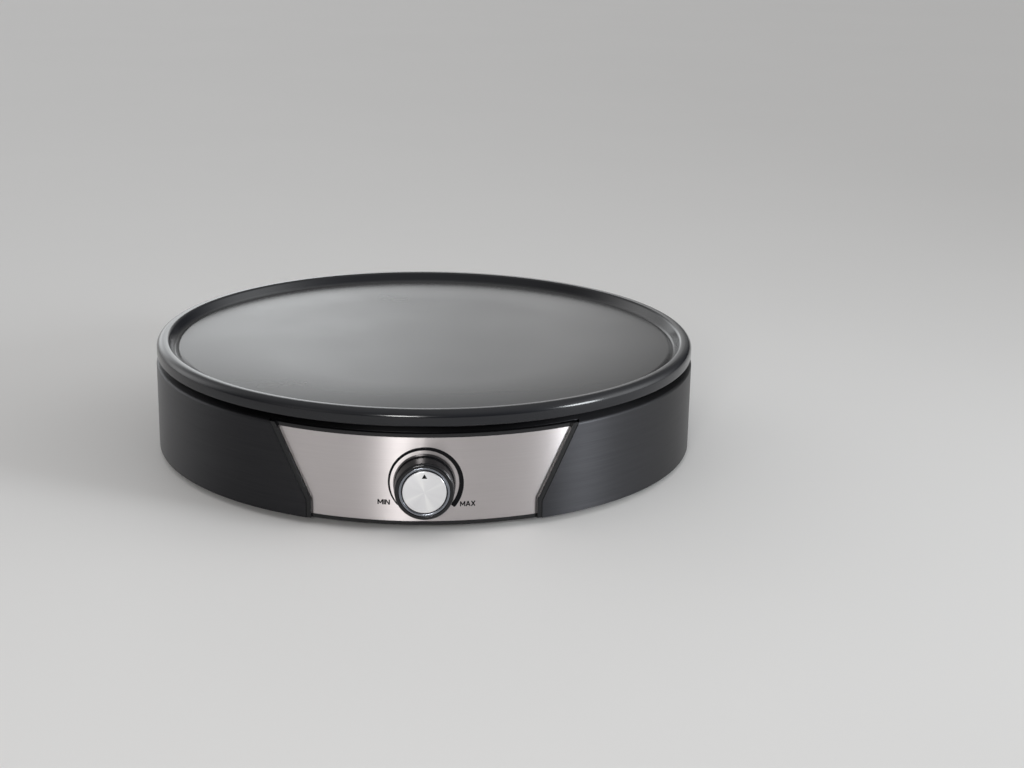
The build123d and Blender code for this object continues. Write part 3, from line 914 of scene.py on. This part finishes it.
def makeFrame(material):
    shape = frameShape
    foot, head = shape["sheet"]
    mesh = outline([(shape["rim"], foot), (shape["rim"], head)])
    turnPart(mesh, front, shape["spread"], shape["steps"])
    opening = panelOutline["opening"]
    panel = panelOutline["panel"]
    gap = -shape["gap"]
    low = shape["low"]
    high = shape["high"]
    sliceOutline(mesh, opening, gap, low, high)
    deleteFaces(mesh, lambda c: not insideBand(opening, c, gap, low, high))

    # the recess is as high as the frame, so its level walls at foot and top go
    band = shape["band"]
    sliceOutline(mesh, panel, band, foot, head)
    sinkFaces(mesh, lambda c: insideOutline(panel, c, band), shape["face"])
    levelWalls = [face for face in mesh.faces if abs(face.normal.z) > 0.9]
    bmesh.ops.delete(mesh, geom=levelWalls, context="FACES")
    recessEdges = [edge for edge in mesh.edges if onRecessEdge(edge)]
    bevelEdges(mesh, recessEdges, shape["bevel"], shape["bevelSegments"])

    # a pocket in the recess holds the panel
    low = shape["panelLow"]
    high = shape["panelHigh"]
    play = shape["play"]
    sliceOutline(mesh, panel, play, low, high)
    sinkFaces(mesh, lambda c: insideBand(panel, c, play, low, high), shape["pocket"])
    bmesh.ops.recalc_face_normals(mesh, faces=mesh.faces)
    back = bmesh.ops.extrude_face_region(mesh, geom=mesh.faces[:])["geom"]
    setRadius(back, shape["inner"])
    topEdges = [edge for edge in mesh.edges if onFrameTop(edge)]
    bevelEdges(mesh, topEdges, shape["edge"], shape["edgeSegments"])
    piece = makePiece("panelFrame", mesh, material, "base", ["control_frame"])
    evenNormals(piece)


# Brushed panel

panelShape = {
    "steps": 150,
    "spread": 64,
    "face": 197.8,
    "thickness": 0.9,
    "sheet": (2.0, 70.0),  # foot and top of the curved sheet that it is cut from
    "low": 7.2,
    "high": 65.4,
    "edge": 0.18,
    "edgeSegments": 2,
}


def makePanel():
    shape = panelShape
    foot, head = shape["sheet"]
    mesh = outline([(shape["face"], foot), (shape["face"], head)])
    turnPart(mesh, front, shape["spread"], shape["steps"])
    panel = panelOutline["panel"]
    low = shape["low"]
    high = shape["high"]
    sliceOutline(mesh, panel, 0.0, low, high)
    deleteFaces(mesh, lambda c: not insideBand(panel, c, 0.0, low, high))
    rim = [edge for edge in mesh.edges if edge.is_boundary]
    back = bmesh.ops.extrude_face_region(mesh, geom=mesh.faces[:])["geom"]
    setRadius(back, shape["face"] - shape["thickness"])
    bevelEdges(mesh, rim, shape["edge"], shape["edgeSegments"])
    steel = brushedFinish("brushedSteel", steelLook)
    piece = makePiece("panelSheet", mesh, steel, "base", ["front_panel"])
    evenNormals(piece)


# Knob

knobShape = {
    "base": 198.2,  # from the drum's axis to the knob's base
    "height": 33.85,
    "steps": 128,
    "body": [
        (20.8, 0.0),
        (20.7, 1.0),
        (19.4, 17.0),
        (16.95, 17.0),
        (16.95, 15.8),
        (14.95, 15.8),
        (14.95, 16.5),
        (14.4, 16.5),
        (14.4, 15.6),
        (0.0, 15.6),
    ],
    "bodyRounds": {0: (0.35, 2), 2: (1.5, 7), 3: (0.2, 2), 6: (0.12, 2), 7: (0.12, 2)},
    "bodyBack": [
        (18.7, 0.0),
        (17.0, 13.6),
        (6.2, 13.6),
        (6.2, 1.0),
        (3.05, 1.0),
        (3.05, 13.0),
        (0.0, 13.0),
    ],
    "cap": [(0.0, 15.6), (14.35, 15.6), (14.35, 17.1), (0.0, 17.1)],
    "capRounds": {2: (0.35, 4)},
    "ring": [(15.0, 15.8), (15.0, 16.3), (15.9, 17.0), (16.9, 16.6), (16.9, 15.8)],
    "ringRounds": {1: (0.2, 3), 2: (0.7, 6), 3: (0.3, 4)},
}


def knobPlace():
    base = Matrix.Translation((0, -knobShape["base"] * mm, knobShape["height"] * mm))
    return base @ Matrix.Rotation(math.pi / 2, 4, "X")


def turnKnob(mesh, name, material, node):
    turnFull(mesh, knobShape["steps"])
    bmesh.ops.transform(mesh, matrix=knobPlace(), verts=mesh.verts)
    makePiece(name, mesh, material, "knob", [node])


def makeKnob():
    # from the axis over the face and the side, and back through the hollow to the axis
    face = list(reversed(knobShape["body"]))
    rounds = {len(face) - 1 - place: size for place, size in knobShape["bodyRounds"].items()}
    body = outline(face + knobShape["bodyBack"], rounds)
    black = plainFinish("knobBlack", knobLook)
    turnKnob(body, "knobBody", black, "knob_body")

    disc = outline(knobShape["cap"], knobShape["capRounds"])
    turnKnob(disc, "knobDisc", spunFinish(), "knob_cap")

    ring = outline(knobShape["ring"], knobShape["ringRounds"])
    ring.edges.new([vert for vert in ring.verts if len(vert.link_edges) == 1])
    bright = plainFinish("brightRing", ringLook)
    turnKnob(ring, "knobRing", bright, "knob_ring")


# Printed marks

markShape = {
    "lift": 0.05,
    "sink": 0.04,
    "arcInner": 22.8,
    "arcThin": 0.95,
    "arcThick": 3.5,
    "arcReach": 131,  # degrees from the top to each end
    "arcSteps": 120,
    "arcEnd": (1.3, 6),  # rounding of its thick end, and segments
    "words": {"MIN": (-26.9, 20.1, 7.4), "MAX": (28.6, 18.9, 9.6)},  # x, z, width
    "letterHeight": 3.5,
    "letterGap": 0.27,  # of the height
    "stroke": 0.8,
    "triangle": (10.5, 2.035),  # from the knob's axis to its middle, and from there to a corner
    "triangleBase": 17.08,  # from the knob's base
    "triangleDepth": 0.06,
}

# strokes of each letter, with its width, as parts of its height
letterStrokes = {
    "M": (0.85, [(0, 0, 0, 1), (0, 1, 0.425, 0.25), (0.425, 0.25, 0.85, 1), (0.85, 1, 0.85, 0)]),
    "I": (0.0, [(0, 0, 0, 1)]),
    "N": (0.68, [(0, 0, 0, 1), (0, 1, 0.68, 0), (0.68, 0, 0.68, 1)]),
    "A": (0.80, [(0, 0, 0.4, 1), (0.4, 1, 0.8, 0), (0.14, 0.32, 0.66, 0.32)]),
    "X": (0.72, [(0, 0, 0.72, 1), (0, 1, 0.72, 0)]),
}


def wrapOnPanel(mesh):
    # gives a flat mark in the XZ plane a little thickness and lays it on the curved panel
    back = bmesh.ops.extrude_face_region(mesh, geom=mesh.faces[:])["geom"]
    behind = {vert for vert in back if isinstance(vert, bmesh.types.BMVert)}
    for vert in mesh.verts:
        lift = -markShape["sink"] if vert in behind else markShape["lift"]
        radius = (panelShape["face"] + lift) * mm
        vert.co.y = -math.sqrt(radius * radius - vert.co.x * vert.co.x)


def makeArc(material):
    shape = markShape
    thin = shape["arcThin"]
    inner = shape["arcInner"] * mm
    mesh = outline([(shape["arcInner"], 0), (shape["arcInner"] + thin, 0)])
    first = Matrix.Rotation(-math.radians(90 + shape["arcReach"]), 4, "Y")
    bmesh.ops.transform(mesh, matrix=first, verts=mesh.verts)
    bmesh.ops.spin(
        mesh,
        geom=mesh.verts[:] + mesh.edges[:],
        axis=(0, 1, 0),
        cent=(0, 0, 0),
        angle=math.radians(2 * shape["arcReach"]),
        steps=shape["arcSteps"],
    )

    # the outer side moves out little by little, from the thin end to the thick one
    ends = []
    for vert in mesh.verts:
        reach = vert.co.length
        turn = math.degrees(math.atan2(vert.co.x, vert.co.z))
        share = (turn + shape["arcReach"]) / (2 * shape["arcReach"])
        if reach > inner + thin / 2 * mm:
            thick = thin + (shape["arcThick"] - thin) * share
            vert.co *= (inner + thick * mm) / reach
        if share > 1 - 0.5 / shape["arcSteps"]:
            ends.append(vert)
    offset, segments = shape["arcEnd"]
    bmesh.ops.bevel(
        mesh,
        geom=ends,
        offset=offset * mm,
        segments=segments,
        profile=0.5,
        affect="VERTICES",
        material=-1,
        clamp_overlap=True,
    )
    centre = Matrix.Translation((0, 0, knobShape["height"] * mm))
    bmesh.ops.transform(mesh, matrix=centre, verts=mesh.verts)
    wrapOnPanel(mesh)
    makePiece("heatArc", mesh, material, "base")


def makeWord(word, x, z, width, material):
    # each stroke is a flat bar; the word is laid out one unit high, then scaled and placed
    height = markShape["letterHeight"]
    stand = Matrix.Rotation(math.pi / 2, 4, "X")
    mesh = bmesh.new()
    reach = 0.0
    for letter in word:
        letterWidth, strokes = letterStrokes[letter]
        for x1, z1, x2, z2 in strokes:
            run = Vector(((x2 - x1), 0, (z2 - z1)))
            middle = Vector((reach + (x1 + x2) / 2, 0, (z1 + z2) / 2 - 0.5))
            size = Matrix.Diagonal((run.length, markShape["stroke"] / height, 1, 1))
            turn = Matrix.Rotation(-math.atan2(run.z, run.x), 4, "Y")
            bar = Matrix.Translation(middle) @ turn @ stand @ size
            bmesh.ops.create_grid(mesh, x_segments=1, y_segments=1, size=0.5, matrix=bar)
        reach += letterWidth + markShape["letterGap"]
    reach -= markShape["letterGap"]
    scale = Matrix.Diagonal((width / reach, 1, height, 1)) @ Matrix.Translation((-reach / 2, 0, 0))
    bmesh.ops.transform(mesh, matrix=scale, verts=mesh.verts)
    onPanel = Matrix.Translation((x * mm, 0, z * mm)) @ Matrix.Scale(mm, 4)
    bmesh.ops.transform(mesh, matrix=onPanel, verts=mesh.verts)
    wrapOnPanel(mesh)
    makePiece("word" + word.title(), mesh, material, "base")


def makePointer(material):
    # the small triangle on the knob's disc
    mesh = bmesh.new()
    height, reach = markShape["triangle"]
    bmesh.ops.create_circle(mesh, cap_ends=True, radius=reach * mm, segments=3)
    up = Matrix.Translation((0, height * mm, markShape["triangleBase"] * mm))
    bmesh.ops.transform(mesh, matrix=up, verts=mesh.verts)
    top = bmesh.ops.extrude_face_region(mesh, geom=mesh.faces[:])["geom"]
    raised = [vert for vert in top if isinstance(vert, bmesh.types.BMVert)]
    bmesh.ops.translate(mesh, verts=raised, vec=(0, 0, markShape["triangleDepth"] * mm))
    bmesh.ops.transform(mesh, matrix=knobPlace(), verts=mesh.verts)
    makePiece("pointerMark", mesh, material, "knob")


makeCamera()
makeWorld()
makeFloor()
for lampName, lampValues in studio["lamps"].items():
    makeLamp(lampName, *lampValues)
print("stage: camera, floor and light")

finishInnerNodes()
print("stage: inner nodes")

makePlate()
drumPaint = brushedFinish("drumPaint", paintLook)
makeDrum(drumPaint)
blackMoulding = plainFinish("blackMoulding", mouldingLook)
makeFrame(blackMoulding)
makePanel()
makeKnob()
print("stage: body and knob")

ink = plainFinish("ink", inkLook)
makeArc(ink)
for word, (x, z, width) in markShape["words"].items():
    makeWord(word, x, z, width, ink)
makePointer(ink)
print("stage: printed marks")

bpy.context.scene.view_settings.view_transform = "Standard"
